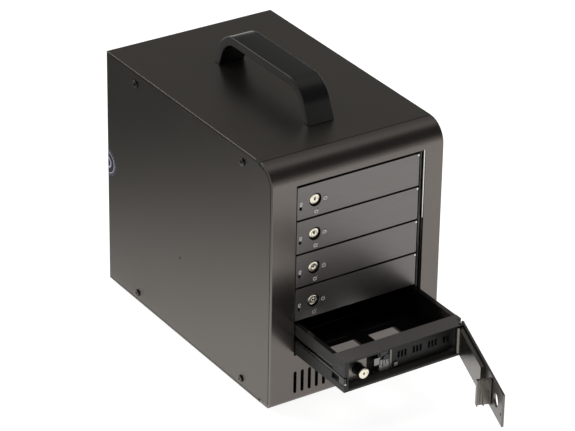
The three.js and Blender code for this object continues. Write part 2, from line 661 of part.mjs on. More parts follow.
place('front_bezel', frontBezel(), 'coat');
place('top_cover', topCover(), 'coat');
place('bottom_plate', bottomPlate(), 'coat');
place('left_side_panel', sidePanel(), 'coat');
place('right_side_panel', sidePanel(), 'coat', CASE.width - SHEET);
place('back_panel', backPanel(), 'coat');
place('carry_handle', carryHandle(), 'plastic');
place('cage_left_wall', cageLeftWall(), 'steel');
place('cage_right_wall', cageRightWall(), 'steel');
place('cage_top', cageTop(), 'steel');
place('cage_floor', cageFloor(), 'steel');
place('backplane_board', backplane(), 'board');
place('main_board', mainBoard(), 'board');
PORTS.forEach((socket) => place(socket.name, port(socket), 'steel'));
place('fan_frame', fanFrame(), 'plastic');
place('fan_rotor', fanRotor(), 'plastic', FAN.x, 0, FAN.z);
place('fan_guard', fanGuard(), 'steel');
place('psu_case', psuCase(), 'steel');
place('psu_board', psuBoard(), 'board');
place('power_inlet', powerInlet(), 'plastic');
const rocker = place('power_rocker', powerRocker(), 'plastic', ROCKER.x, PSU.y[1] - ROCKER.sunk, ROCKER.z);
rocker.rotation.x = ROCKER.tilt;

const SIDES = [
  { side: 'left', x: 0, turn: Math.PI / 2 },
  { side: 'right', x: CASE.width, turn: -Math.PI / 2 },
];
for (const { side, x, turn } of SIDES) {
  const spots = SCREW.z.flatMap((z) => SCREW.y.map((y) => [y, z]));
  spots.forEach(([y, z], i) => {
    place(`${side}_screw_${i + 1}`, screw(), 'steel', x, y, z).rotation.z = turn;
  });
}

FOOT.x.flatMap((x) => FOOT.y.map((y) => [x, y])).forEach(([x, y], i) => {
  place(`foot_${i + 1}`, foot(), 'rubber', x, y);
});

TRAY_NUMBERS.forEach((number) => tower.add(tray(number)));

// The origin is under the middle of the whole tower's box, on the surface that the feet stand on.
const extent = new THREE.Box3().setFromObject(tower, true);
const middle = extent.getCenter(new THREE.Vector3());
tower.position.set(-middle.x, -middle.y, -extent.min.z);

const part = new THREE.Group();
part.add(tower);

export default part;
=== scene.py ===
"""A five-bay desktop storage tower with a carry handle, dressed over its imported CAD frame."""

import json
import math

import bmesh
import bpy
from mathutils import Matrix, Vector


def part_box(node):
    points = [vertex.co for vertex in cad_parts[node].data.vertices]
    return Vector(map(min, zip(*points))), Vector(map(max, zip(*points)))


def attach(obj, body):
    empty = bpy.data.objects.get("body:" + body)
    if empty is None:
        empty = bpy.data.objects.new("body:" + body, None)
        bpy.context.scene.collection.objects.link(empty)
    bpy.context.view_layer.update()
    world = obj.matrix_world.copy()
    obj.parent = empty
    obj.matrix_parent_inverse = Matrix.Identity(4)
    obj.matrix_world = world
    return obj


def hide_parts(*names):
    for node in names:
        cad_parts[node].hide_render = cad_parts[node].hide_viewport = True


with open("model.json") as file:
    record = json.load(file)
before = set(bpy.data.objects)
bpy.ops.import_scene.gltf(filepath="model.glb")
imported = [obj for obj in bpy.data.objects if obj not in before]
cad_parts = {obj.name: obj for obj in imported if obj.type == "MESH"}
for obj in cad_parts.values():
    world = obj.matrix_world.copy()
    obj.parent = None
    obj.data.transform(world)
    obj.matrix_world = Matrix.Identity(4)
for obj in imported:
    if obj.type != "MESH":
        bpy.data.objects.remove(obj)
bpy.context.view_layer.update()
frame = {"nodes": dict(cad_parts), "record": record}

MM = 0.001
RECORD = frame["record"]
JOINTS = {joint["name"]: joint for joint in RECORD["behaviour"]["joints"]}

# ---- places, read from the CAD frame ----

CASE_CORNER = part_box("front_bezel")[0]  # lower left front corner of the case
CARRIER_FRONT, CARRIER_LOW = 2.3, 12.2  # from a tray's own corner to its carrier's lowest corner, mm
TRAYS = range(1, 6)


def in_case(x=0.0, y=0.0, z=0.0):
    """A place given in millimetres from the case's corner."""
    return CASE_CORNER + Vector((x, y, z)) * MM


def in_tray(number, x=0.0, y=0.0, z=0.0):
    """A place given in millimetres from a tray's left side, its closed lever's face and its middle."""
    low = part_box(f"tray_{number}_carrier")[0]
    return low + Vector((x, y - CARRIER_FRONT, z + CARRIER_LOW)) * MM


def middle_of(node):
    low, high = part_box(node)
    return (low + high) / 2


# ---- materials ----

NOISE_SPAN = (0.3, 0.7)  # the part of the noise's range that tone and gloss follow
BLOTCH_SHARE = 0.45  # how much of the tone follows the slow noise
RELIEF_DEPTH = 0.0002  # metres


def surface(name, colour, roughness, metallic=0.0, grain=900.0, bump=0.05, stretch=(1, 1, 1), tone=0.12,
            uneven=0.06, blotch=18.0, specular=0.5, coat=0.0):
    """A procedural finish: fine grain in the normal, slow changes of tone, uneven gloss."""
    material = bpy.data.materials.new(name)
    material.use_nodes = True
    nodes, links = material.node_tree.nodes, material.node_tree.links
    shader = nodes["Principled BSDF"]
    shader.inputs["Metallic"].default_value = metallic
    shader.inputs["Specular IOR Level"].default_value = specular
    shader.inputs["Coat Weight"].default_value = coat
    place = nodes.new("ShaderNodeTexCoord").outputs["Object"]
    mapping = nodes.new("ShaderNodeMapping")
    mapping.inputs["Scale"].default_value = stretch
    links.new(place, mapping.inputs["Vector"])

    fine = nodes.new("ShaderNodeTexNoise")
    fine.inputs["Scale"].default_value = grain
    fine.inputs["Detail"].default_value = 3.0
    links.new(mapping.outputs["Vector"], fine.inputs["Vector"])
    slow = nodes.new("ShaderNodeTexNoise")
    slow.inputs["Scale"].default_value = blotch
    slow.inputs["Detail"].default_value = 2.0
    links.new(place, slow.inputs["Vector"])

    ramp = nodes.new("ShaderNodeValToRGB")
    low, high = ramp.color_ramp.elements
    low.position, high.position = NOISE_SPAN
    low.color = (*[c * (1 - tone) for c in colour], 1)
    high.color = (*[min(1.0, c * (1 + tone)) for c in colour], 1)
    blend = nodes.new("ShaderNodeMix")
    blend.inputs["Factor"].default_value = BLOTCH_SHARE
    links.new(fine.outputs["Fac"], blend.inputs["A"])
    links.new(slow.outputs["Fac"], blend.inputs["B"])
    links.new(blend.outputs["Result"], ramp.inputs["Fac"])
    links.new(ramp.outputs["Color"], shader.inputs["Base Color"])

    gloss = nodes.new("ShaderNodeMapRange")
    gloss.inputs["From Min"].default_value, gloss.inputs["From Max"].default_value = NOISE_SPAN
    gloss.inputs["To Min"].default_value = roughness - uneven / 2
    gloss.inputs["To Max"].default_value = roughness + uneven / 2
    links.new(slow.outputs["Fac"], gloss.inputs["Value"])
    links.new(gloss.outputs["Result"], shader.inputs["Roughness"])

    relief = nodes.new("ShaderNodeBump")
    relief.inputs["Strength"].default_value = bump
    relief.inputs["Distance"].default_value = RELIEF_DEPTH
    links.new(fine.outputs["Fac"], relief.inputs["Height"])
    links.new(relief.outputs["Normal"], shader.inputs["Normal"])
    return material


COAT = surface("case_coat", (0.124, 0.114, 0.099), 0.33, metallic=0.93, grain=2600, bump=0.10, tone=0.05)
BEZEL = surface("bezel_coat", (0.148, 0.132, 0.121), 0.25, metallic=0.93, grain=2600, bump=0.07, tone=0.05)
FACE = surface("lever_face", (0.166, 0.156, 0.151), 0.36, metallic=0.95, grain=1500, bump=0.04,
               stretch=(0.04, 1, 1), tone=0.06)
HANDLE_BLACK = surface("handle_black", (0.007, 0.007, 0.007), 0.28, grain=1800, bump=0.08, specular=0.42)
TRAY_COAT = surface("tray_coat", (0.135, 0.124, 0.122), 0.24, metallic=0.95, grain=1500, bump=0.08, tone=0.06)
# Painted light and shade: the front bar's ledge gets the lighter colour below, its other faces and the carrier's
# outer sides the much darker one.
LEDGE_PAINTED_LIGHT = surface("tray_ledge_painted_light", (0.120, 0.113, 0.107), 0.48, grain=1500, bump=0.12, specular=0.3)
BAR_PAINTED_SHADE = surface("tray_bar_painted_shade", (0.013, 0.013, 0.012), 0.42, grain=1500, bump=0.12, specular=0.3)
MOULDED = surface("black_plastic", (0.012, 0.012, 0.012), 0.42, grain=1500, bump=0.18)
DARK_METAL = surface("lever_inner", (0.165, 0.154, 0.136), 0.26, metallic=0.9, grain=1400, bump=0.06)
NICKEL = surface("nickel", (0.80, 0.75, 0.62), 0.26, metallic=1.0, grain=1200, bump=0.06, tone=0.06)
BLACK = surface("gloss_black", (0.006, 0.006, 0.006), 0.18, grain=900, bump=0.03)
SILVER = surface("catch_silver", (0.26, 0.255, 0.25), 0.34, metallic=0.9, grain=1200, bump=0.12)
ZINC = surface("galvanised", (0.42, 0.43, 0.44), 0.36, metallic=0.95, grain=240, bump=0.10, tone=0.22)
STEEL = surface("bright_steel", (0.62, 0.62, 0.61), 0.24, metallic=1.0, grain=1600, bump=0.05)
SCREW = surface("black_zinc", (0.10, 0.098, 0.095), 0.28, metallic=0.95, grain=2200, bump=0.08)
RUBBER = surface("rubber", (0.012, 0.012, 0.012), 0.75, grain=1700, bump=0.25)
BOARD = surface("solder_mask", (0.012, 0.10, 0.045), 0.34, grain=420, bump=0.20, tone=0.35)
GOLD = surface("gold_contact", (0.80, 0.56, 0.20), 0.22, metallic=1.0, grain=1400, bump=0.04)
PRINT = surface("pale_print", (0.90, 0.88, 0.84), 0.5, grain=3000, bump=0.05)
EDGE = surface("bare_edge", (0.86, 0.84, 0.80), 0.22, metallic=0.95, grain=1400, bump=0.04, tone=0.04)
LILAC = surface("seal_lilac", (0.42, 0.44, 0.60), 0.3, grain=900, bump=0.05, tone=0.2)
LENS = surface("light_lens", (0.62, 0.62, 0.60), 0.20, grain=1200, bump=0.04, coat=0.3)
FLOOR = surface("pale_floor", (0.55, 0.55, 0.55), 0.70, grain=40, bump=0.0, tone=0.01)

# ---- making meshes; every length below is in millimetres ----

WELD = 1e-4  # vertices closer than this are joined
CORNER_ANGLE = 40  # sharper edges than this are softened, degrees
ASKEW = Vector((0.31, 0.17, 0.93))  # not along any wire, so it gives each wire a sideways direction
PLANES = {
    "x": lambda u, v, w: (w, u, v),
    "y": lambda u, v, w: (u, w, v),
    "z": lambda u, v, w: (u, v, w),
}


def prism(bm, outline, span, axis):
    """An outline in the plane across an axis, drawn out along it."""
    near = [bm.verts.new(PLANES[axis](u, v, span[0])) for u, v in outline]
    far = [bm.verts.new(PLANES[axis](u, v, span[1])) for u, v in outline]
    bm.faces.new(near)
    bm.faces.new(list(reversed(far)))
    for i in range(len(outline)):
        j = (i + 1) % len(outline)
        bm.faces.new((near[i], far[i], far[j], near[j]))


def block(bm, xs, ys, zs):
    """A box between pairs of coordinates."""
    prism(bm, [(xs[0], ys[0]), (xs[1], ys[0]), (xs[1], ys[1]), (xs[0], ys[1])], zs, "z")


def arc(centre, radius, start, end, steps):
    """Points on an arc between two angles in degrees."""
    turns = [math.radians(start + (end - start) * i / steps) for i in range(steps + 1)]
    return [(centre[0] + radius * math.cos(t), centre[1] + radius * math.sin(t)) for t in turns]


def rod(bm, axis, centre, radius, span, sides=32):
    """A round bar along an axis."""
    prism(bm, arc(centre, radius, 0, 360, sides)[:-1], span, axis)


def stadium(x, width, low, high, steps=8):
    """The outline of an upright slot with round ends."""
    radius = width / 2
    return arc((x, high - radius), radius, 0, 180, steps) + arc((x, low + radius), radius, 180, 360, steps)


def lathe(bm, profile, axis="y", centre=(0, 0), sides=40, closed=False):
    """A profile of (radius, height) points turned about an axis."""
    rings = []
    for radius, height in profile:
        if radius < 1e-6:
            rings.append([bm.verts.new(PLANES[axis](*centre, height))])
            continue
        rings.append([bm.verts.new(PLANES[axis](u, v, height)) for u, v in arc(centre, radius, 0, 360, sides)[:-1]])
    pairs = list(zip(rings, rings[1:] + rings[:1] if closed else rings[1:]))
    for one, two in pairs:
        for i in range(sides):
            j = (i + 1) % sides
            corners = [one[i % len(one)], one[j % len(one)], two[j % len(two)], two[i % len(two)]]
            unique = list(dict.fromkeys(corners))
            if len(unique) > 2:
                bm.faces.new(unique)


def sweep(bm, path, radius, sides=12):
    """A round wire along points, with its ends closed."""
    points = [Vector(p) for p in path]
    rings = []
    for i, point in enumerate(points):
        ahead = (points[min(i + 1, len(points) - 1)] - points[max(i - 1, 0)]).normalized()
        side = ahead.cross(ASKEW).normalized()
        other = ahead.cross(side)
        turns = [2 * math.pi * k / sides for k in range(sides)]
        rings.append([bm.verts.new(point + (side * math.cos(t) + other * math.sin(t)) * radius) for t in turns])
    for one, two in zip(rings, rings[1:]):
        for i in range(sides):
            j = (i + 1) % sides
            bm.faces.new((one[i], one[j], two[j], two[i]))
    bm.faces.new(rings[0])
    bm.faces.new(rings[-1])


def piece(name, build, material, body, at, turn=0.0, bevel=0.0, smooth=35, carve=None):
    """Makes an object from a function that fills a bmesh, places it, and lets it ride on a body."""
    obj = raw(name, build)
    if carve:
        cutter = raw(name + "_cutter", carve)
        modifier = obj.modifiers.new("carve", "BOOLEAN")
        modifier.operation, modifier.solver, modifier.object = "DIFFERENCE", "EXACT", cutter
        modifier.use_self = True  # the blocks of a piece overlap
        depsgraph = bpy.context.evaluated_depsgraph_get()
        carved = bpy.data.meshes.new_from_object(obj.evaluated_get(depsgraph))
        obj.modifiers.clear()
        obj.data = carved
        bpy.data.objects.remove(cutter)
    obj.data.shade_smooth()
    obj.data.set_sharp_from_angle(angle=math.radians(smooth))
    obj.data.materials.clear()
    obj.data.materials.append(material)
    if bevel:
        soften(obj, bevel)
    obj.matrix_world = Matrix.Translation(at) @ Matrix.Rotation(turn, 4, "Z")
    bpy.context.view_layer.update()
    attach(obj, body)
    return obj


def raw(name, build):
    """An object made from a function that fills a bmesh, brought to metres."""
    bm = bmesh.new()
    build(bm)
    bmesh.ops.remove_doubles(bm, verts=bm.verts, dist=WELD)
    bmesh.ops.recalc_face_normals(bm, faces=bm.faces)
    bmesh.ops.scale(bm, vec=(MM, MM, MM), verts=bm.verts)
    mesh = bpy.data.meshes.new(name)
    bm.to_mesh(mesh)
    bm.free()
    obj = bpy.data.objects.new(name, mesh)
    bpy.context.scene.collection.objects.link(obj)
    return obj


def soften(obj, width):
    """Rounds the sharp edges of an object a little."""
    modifier = obj.modifiers.new("soft_edges", "BEVEL")
    modifier.width = width * MM
    modifier.segments = 2
    modifier.limit_method = "ANGLE"
    modifier.angle_limit = math.radians(CORNER_ANGLE)
    modifier.use_clamp_overlap = True
    modifier.harden_normals = False


def dress(node, material, bevel):
    """Gives a CAD node its finish and softens its edges."""
    obj = frame["nodes"][node]
    obj.data.materials.clear()
    obj.data.materials.append(material)
    soften(obj, bevel)


# ---- camera, lights and floor; metres ----

EYE, AIM = Vector((-1.10854, -1.62484, 1.18029)), Vector((-0.01633, 0.03181, 0.11958))
ROLL = 0.963  # degrees
LENS_LENGTH, SENSOR_WIDTH = 187.2, 36.0  # mm
LAMPS = (
    # name, place, target, size, power in watts
    ("overhead_light", (0.2, 0.15, 1.5), (0, 0, 0.1), (1.2, 0.5), 4),
    ("side_light", (1.3, -0.4, 0.7), (0, 0, 0.1), (0.8, 0.8), 3),
)
FLOOR_REACH, FLOOR_SPAN = 9000, (-20, -0.05)  # mm
FLOOR_GLOW = 0.88
SKY_STOPS = (
    # degrees from the back horizon over the top to the front horizon, brightness
    (0, 0.27), (30, 0.19), (45, 0.27), (62, 0.36), (78, 0.50), (94, 0.50),
    (104, 0.20), (118, 0.06), (145, 0.05), (158, 0.12), (170, 0.45), (180, 0.75),
)
SKY_TINT = (1, 0.985, 0.965)
GLOW = {"towards": (-0.455, 0.736, 0.469), "outer": 24, "inner": 8, "level": 3.0}  # angles in degrees
CARD_OUTLINE = ((-3, -0.5, 0), (-0.08, -0.5, 0), (-0.08, 3, 0), (-3, 3, 0))
CARD_SLOPES = (("X", -1.7), ("Y", 3.0))  # how fast the card fades along each axis
CARD_FADE = (0.15, 1.75)


def studio():
    """Camera, soft lamps, surroundings and a pale floor that glows a little, as if lit through."""
    scene = bpy.context.scene
    scene.view_settings.view_transform = "Standard"
    data = bpy.data.cameras.new("camera")
    camera = bpy.data.objects.new("camera", data)
    scene.collection.objects.link(camera)
    data.lens, data.sensor_width = LENS_LENGTH, SENSOR_WIDTH
    data.clip_end = 20
    look = (AIM - EYE).to_track_quat("-Z", "Y").to_matrix().to_4x4()
    camera.matrix_world = Matrix.Translation(EYE) @ look @ Matrix.Rotation(math.radians(ROLL), 4, "Z")
    scene.camera = camera

    sky(scene)
    for lamp in LAMPS:
        softbox(*lamp)

    def ground(bm):
        block(bm, (-FLOOR_REACH, FLOOR_REACH), (-FLOOR_REACH, FLOOR_REACH), FLOOR_SPAN)

    shader = FLOOR.node_tree.nodes["Principled BSDF"]
    shader.inputs["Emission Color"].default_value = (1, 1, 1, 1)
    shader.inputs["Emission Strength"].default_value = FLOOR_GLOW
    floor = raw("floor", ground)
    floor.data.materials.append(FLOOR)
    dark_card()


def softbox(name, place, target, size, power):
    """A soft lamp that lights surfaces but doesn't show in their reflections."""
    light = bpy.data.lights.new(name, "AREA")
    light.shape, light.size, light.size_y = "RECTANGLE", *size
    light.energy = power
    lamp = bpy.data.objects.new(name, light)
    lamp.location = place
    lamp.rotation_mode = "QUATERNION"
    lamp.rotation_quaternion = (Vector(target) - Vector(place)).to_track_quat("-Z", "Y")
    lamp.visible_glossy = False
    bpy.context.scene.collection.objects.link(lamp)


def sky(scene):
    """A studio whose brightness changes from back to front over the top, with a glow behind on the left."""
    world = bpy.data.worlds.new("studio")
    world.use_nodes = True
    nodes, links = world.node_tree.nodes, world.node_tree.links
    split = nodes.new("ShaderNodeSeparateXYZ")
    heading = nodes.new("ShaderNodeTexCoord").outputs["Generated"]
    links.new(heading, split.inputs["Vector"])
    turn = nodes.new("ShaderNodeMath")
    turn.operation = "ARCTAN2"
    links.new(split.outputs["Z"], turn.inputs[0])
    links.new(split.outputs["Y"], turn.inputs[1])
    share = nodes.new("ShaderNodeMapRange")
    share.inputs["From Max"].default_value = math.pi
    links.new(turn.outputs["Value"], share.inputs["Value"])
    ramp = nodes.new("ShaderNodeValToRGB")
    elements = ramp.color_ramp.elements
    while len(elements) < len(SKY_STOPS):
        elements.new(0.5)
    for element, (degrees, level) in zip(elements, SKY_STOPS):
        element.position = degrees / 180
        element.color = (*[level * tint for tint in SKY_TINT], 1)
    links.new(share.outputs["Result"], ramp.inputs["Fac"])

    towards = nodes.new("ShaderNodeVectorMath")
    towards.operation = "DOT_PRODUCT"
    towards.inputs[1].default_value = Vector(GLOW["towards"]).normalized()
    links.new(heading, towards.inputs[0])
    glow = nodes.new("ShaderNodeMapRange")
    glow.interpolation_type = "SMOOTHSTEP"
    glow.inputs["From Min"].default_value = math.cos(math.radians(GLOW["outer"]))
    glow.inputs["From Max"].default_value = math.cos(math.radians(GLOW["inner"]))
    glow.inputs["To Max"].default_value = GLOW["level"]
    links.new(towards.outputs["Value"], glow.inputs["Value"])
    sum_up = nodes.new("ShaderNodeVectorMath")
    links.new(ramp.outputs["Color"], sum_up.inputs[0])
    links.new(glow.outputs["Result"], sum_up.inputs[1])
    links.new(sum_up.outputs["Vector"], nodes["Background"].inputs["Color"])
    scene.world = world


def dark_card():
    """A black cloth on the floor to the left of the tower and behind it, seen in reflections only."""
    mesh = bpy.data.meshes.new("dark_card")
    mesh.from_pydata(CARD_OUTLINE, [], [(0, 1, 2, 3)])
    card = bpy.data.objects.new("dark_card", mesh)
    bpy.context.scene.collection.objects.link(card)
    material = bpy.data.materials.new("dark_card")
    material.use_nodes = True
    nodes, links = material.node_tree.nodes, material.node_tree.links
    nodes["Principled BSDF"].inputs["Base Color"].default_value = (0.02, 0.02, 0.02, 1)
    split = nodes.new("ShaderNodeSeparateXYZ")
    links.new(nodes.new("ShaderNodeTexCoord").outputs["Object"], split.inputs["Vector"])
    slopes = []
    for axis, slope in CARD_SLOPES:
        scaled = nodes.new("ShaderNodeMath")
        scaled.operation = "MULTIPLY"
        scaled.inputs[1].default_value = slope
        links.new(split.outputs[axis], scaled.inputs[0])
        slopes.append(scaled)
    total = nodes.new("ShaderNodeMath")
    links.new(slopes[0].outputs["Value"], total.inputs[0])
    links.new(slopes[1].outputs["Value"], total.inputs[1])
    fade = nodes.new("ShaderNodeMapRange")
    fade.interpolation_type = "SMOOTHSTEP"
    fade.inputs["From Min"].default_value, fade.inputs["From Max"].default_value = CARD_FADE
    fade.inputs["To Min"].default_value = 1.0
    fade.inputs["To Max"].default_value = 0.0
    links.new(total.outputs["Value"], fade.inputs["Value"])
    clear = nodes.new("ShaderNodeBsdfTransparent")
    mix = nodes.new("ShaderNodeMixShader")
    links.new(fade.outputs["Result"], mix.inputs["Fac"])
    links.new(nodes["Principled BSDF"].outputs["BSDF"], mix.inputs[1])
    links.new(clear.outputs["BSDF"], mix.inputs[2])
    links.new(mix.outputs["Shader"], nodes["Material Output"].inputs["Surface"])
    mesh.materials.append(material)
    card.visible_camera = card.visible_diffuse = card.visible_shadow = card.visible_transmission = False


# ---- case ----

WIDTH, DEPTH, HEIGHT = 150.0, 238.0, 200.0
BROW, TOE, SHEET = 17.2, 5.0, 3.0  # outer bend radii and thickness of the bezel
LIP_END = 14.0  # how far the bezel's lower lip reaches back
OPENING = ((20.5, 134.0), (41.0, 182.5))
PAST = 1  # how far a cutter runs past the sheet
VENTS = {"count": 18, "first": 22, "pitch": 6.42, "width": 2.7, "span": (8.5, 26.8)}
HANDLE = {
    "x": 72.6, "half": 11.3, "thick": 7.2, "top": 229.8, "bend": 25.0, "feet": (47.2, 179.5), "lean": 22.0,
    "edge": 0.9, "sunk": 0.4, "steps": 24,
}
BOLT_SPOTS = [(y, z) for z in (7, 190) for y in (41, 194)]
HEAD = {"shaft": 1.5, "reach": 5.5, "seat": -0.4, "radius": 2.9, "rim": -0.85, "top": -1.68, "flat": 1.3}
SOCKET = {"across": 1.0, "mouth": -1.66, "bottom": -0.75, "sides": 36}
PAD_SPOTS = [(x, y) for x in (16, 134) for y in (24, 222)]
PAD_PROFILE = [(0, -3.0), (5.6, -3.0), (6.3, -2.7), (6.5, -2.2), (6.2, -0.4), (0, -0.4)]
SEAL = {"z": 104, "proud": 0.06, "field": [(0.05, 3.4), (4.8, 8.7)], "rings": [(3.4, 4.8), (8.7, 9.4)]}
RAYS = {"count": 13, "first": 97, "pitch": 13.8, "half": 0.14, "near": 9.9, "far": 11.8, "proud": 0.05}


def bezel_sheet(bm):
    """The bent front plate: lower lip, toe, face and brow."""
    outline = [(LIP_END, 0.0)]
    outline += arc((TOE, TOE), TOE, -90, -180, 12)
    outline += arc((BROW, HEIGHT - BROW), BROW, 180, 90, 32)
    outline += arc((BROW, HEIGHT - BROW), BROW - SHEET, 90, 180, 32)
    outline += arc((TOE, TOE), TOE - SHEET, 180, 270, 12)
    outline.append((LIP_END, SHEET))
    prism(bm, outline, (0, WIDTH), "x")


def bezel_openings(bm):
    """The trays' opening and the row of vents below it."""
    through = (-PAST, SHEET + PAST)
    block(bm, OPENING[0], through, OPENING[1])
    for i in range(VENTS["count"]):
        slot = stadium(VENTS["first"] + i * VENTS["pitch"], VENTS["width"], *VENTS["span"])
        prism(bm, slot, through, "y")


def handle_strap(bm):
    """The strap's section, with rounded edges, carried along its arch."""
    thick, top, bend, half, lean, edge = (HANDLE[key] for key in ("thick", "top", "bend", "half", "lean", "edge"))
    front, rear = HANDLE["feet"]
    low = HEIGHT + HANDLE["sunk"]
    inset = (top - low) * math.tan(math.radians(lean)) + bend * math.tan(math.radians((90 - lean) / 2))

    def bent(middle, start):
        angles = [start - (90 - lean) * i / HANDLE["steps"] for i in range(HANDLE["steps"] + 1)]
        return [(middle + bend * math.cos(math.radians(angle)),
                 top - bend + bend * math.sin(math.radians(angle)), angle) for angle in angles]

    spine = [(front, low, 180 - lean), *bent(front + inset, 180 - lean), ((front + rear) / 2, top, 90),
             *bent(rear - inset, 90), (rear, low, lean)]
    section = []
    for across, depth, start in ((half - edge, -edge, 90), (half - edge, -thick + edge, 0),
                                 (edge - half, -thick + edge, -90), (edge - half, -edge, -180)):
        section += arc((across, depth), edge, start, start - 90, 6)
    rings = []
    for y, z, angle in spine:
        out = (math.cos(math.radians(angle)), math.sin(math.radians(angle)))
        level = z == low  # the feet are cut level with the cover
        ring = []
        for across, depth in section:
            along = depth / out[0] if level else depth * out[0]
            rise = 0.0 if level else depth * out[1]
            ring.append(bm.verts.new((across, y + along, z + rise)))
        rings.append(ring)
    count = len(section)
    for one, two in zip(rings, rings[1:]):
        for i in range(count):
            j = (i + 1) % count
            bm.faces.new((one[i], one[j], two[j], two[i]))
    bm.faces.new(rings[0])
    bm.faces.new(rings[-1])


def screw_head(bm):
    """A button head with a six-sided socket, its axis along y, pointing to -y."""
    shaft, radius, rim, flat, top = (HEAD[key] for key in ("shaft", "radius", "rim", "flat", "top"))
    profile = [(0.0, HEAD["reach"]), (shaft, HEAD["reach"]), (shaft, HEAD["seat"]), (radius - 0.15, HEAD["seat"]),
               (radius, HEAD["seat"] - 0.15), (radius, rim)]
    profile += [(radius - 1.5 * t * t, rim - 0.78 * math.sqrt(t)) for t in (0.2, 0.4, 0.6, 0.8, 1.0)]
    profile += [(flat, top)]
    sides = SOCKET["sides"]
    lathe(bm, profile, sides=sides)
    ring, hexagon = [], []
    for i in range(sides):
        degrees = i * 360 // sides
        u, v = math.cos(math.radians(degrees)), math.sin(math.radians(degrees))
        ring.append(bm.verts.new((flat * u, top, flat * v)))
        reach = SOCKET["across"] * math.cos(math.radians(30)) / math.cos(math.radians(degrees % 60 - 30))
        hexagon.append((reach * u, reach * v))
    mouth = [bm.verts.new((u, SOCKET["mouth"], v)) for u, v in hexagon]
    bottom = [bm.verts.new((u, SOCKET["bottom"], v)) for u, v in hexagon]
    for i in range(sides):
        j = (i + 1) % sides
        bm.faces.new((ring[i], ring[j], mouth[j], mouth[i]))
        bm.faces.new((mouth[i], mouth[j], bottom[j], bottom[i]))
    bm.faces.new(bottom)


def rubber_foot(bm):
    lathe(bm, PAD_PROFILE, axis="z", sides=40)


def dress_case():
    """Everything seen on the outside of the case, but for its back."""
    front = piece("bezel", bezel_sheet, BEZEL, "chassis", in_case(), bevel=0.35,
                  carve=bezel_openings)
    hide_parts("front_bezel")
    strap = piece("handle", handle_strap, HANDLE_BLACK, "chassis", in_case(HANDLE["x"]))
    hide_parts("carry_handle")
    for node in ("top_cover", "bottom_plate", "left_side_panel", "right_side_panel", "back_panel"):
        dress(node, COAT, 0.3)
    for side, x, turn in (("left", 0, -90), ("right", WIDTH, 90)):
        for i, (y, z) in enumerate(BOLT_SPOTS):
            head = piece(f"{side}_bolt_{i + 1}", screw_head, SCREW, "chassis", in_case(x, y, z),
                         math.radians(turn))
            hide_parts(f"{side}_screw_{i + 1}")
    for i, (x, y) in enumerate(PAD_SPOTS):
        pad = piece(f"pad_{i + 1}", rubber_foot, RUBBER, "chassis", in_case(x, y), smooth=50)
        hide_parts(f"foot_{i + 1}")
    piece("jamb_trim", jamb_trim, EDGE, "chassis", in_case())
    piece("top_trim", top_trim, DARK_METAL, "chassis", in_case())
    seal_sticker()


def jamb_trim(bm):
    """The bare edge of the bezel's sheet, up the right side of the opening."""
    rod(bm, "z", (134.0, 1.5), 0.62, (125.5, 182.1), 24)


def top_trim(bm):
    """The folded bare edge of the cover along its left side."""
    rod(bm, "y", (0.42, HEIGHT - 0.36), 0.5, (23.0, DEPTH - 0.6), 24)


def half_rings(radii):
    """Flat rings about the x axis, cut off at the rear edge of the side panel."""
    def build(bm):
        for inner, outer in radii:
            profile = [(inner, 0.0), (outer, 0.0), (outer, SEAL["proud"]), (inner, SEAL["proud"])]
            lathe(bm, profile, axis="x", sides=64, closed=True)
        everything = bm.verts[:] + bm.edges[:] + bm.faces[:]
        bmesh.ops.bisect_plane(bm, geom=everything, plane_co=(0, 0, 0), plane_no=(0, 1, 0), clear_outer=True)
        bmesh.ops.holes_fill(bm, edges=[edge for edge in bm.edges if edge.is_boundary])
    return build


def seal_rays(bm):
    """Short strokes round the seal."""
    for i in range(RAYS["count"]):
        turn = math.radians(RAYS["first"] + i * RAYS["pitch"])
        along = Vector((math.cos(turn), math.sin(turn)))
        across = along.orthogonal() * RAYS["half"]
        near, far = along * RAYS["near"], along * RAYS["far"]
        prism(bm, [near - across, far - across, far + across, near + across], (0, RAYS["proud"]), "x")


def seal_sticker():
    """The side half of a plain round seal at the rear left upright edge."""
    spot = in_case(-SEAL["proud"], DEPTH, SEAL["z"])
    piece("seal_field", half_rings(SEAL["field"]), SCREW, "chassis", spot)
    piece("seal_rings", half_rings(SEAL["rings"]), LILAC, "chassis", spot)
    piece("seal_rays", seal_rays, LILAC, "chassis", spot)


# ---- trays ----

HINGE = (103.3, 4.3)
LOCK_X = 16.2
LOCK_HOLE = 4.8  # radius of the hole in the crossbar
LIGHT_HOLE = {"x": 3.5, "z": -4.3, "radius": 1.2}
LEVER = {"low": -10.0, "high": 11.4, "front": -2.5, "barrel": 3.2, "bore": 1.25, "lock_hole": 5.2}
PRINT_SPAN = (-0.03, 0.02)  # y span of a printed line on the face plate
PRINT_LINE = 0.5
PADLOCK = {"corners": [(-1.3, -1.7), (1.3, -1.7), (1.3, 0.4), (-1.3, 0.4)], "bow": 0.85, "bow_z": 0.8, "shift": 1.1}
ICONS = (("shut", 24.7, -0.2, True), ("free", 17.0, -9.3, False))  # padlocks' name, x, z, and whether shut
LAMP_ICON = (3.8, -0.9)
CORNER_STUD = (106.9, 12.3)
LOCK_DISC = [(0, 1.74), (4.25, 1.74), (4.25, 1.35), (3.95, 1.02), (0.95, 1.0), (0.85, 1.1), (0.85, 1.7), (0, 1.7)]
PRONGS = ((35.6, -3.6), (38.2, -5.2), (40.6, -4.0), (42.9, -2.8))  # x and low end
SLITS = (5.2, 7.6, 10.0)
RIB_WIDTH, RIB_HEIGHTS = 1.2, (-10.3, -9.7)
LONG_RIBS = ((14, 30, 62), (54, 30, 62), (92, 30, 62), (20, 70, 84), (84, 70, 84))  # x, from y, to y
CROSS_RIBS = ((66, 12, 46), (66, 60, 98), (90, 20, 88), (112, 20, 88), (134, 20, 88))  # y, from x, to x
BAR_BACK = 17.7  # the moulded front bar ends here
OUTER_SIDES = (1, 110)  # side faces beyond these are the carrier's outer sides

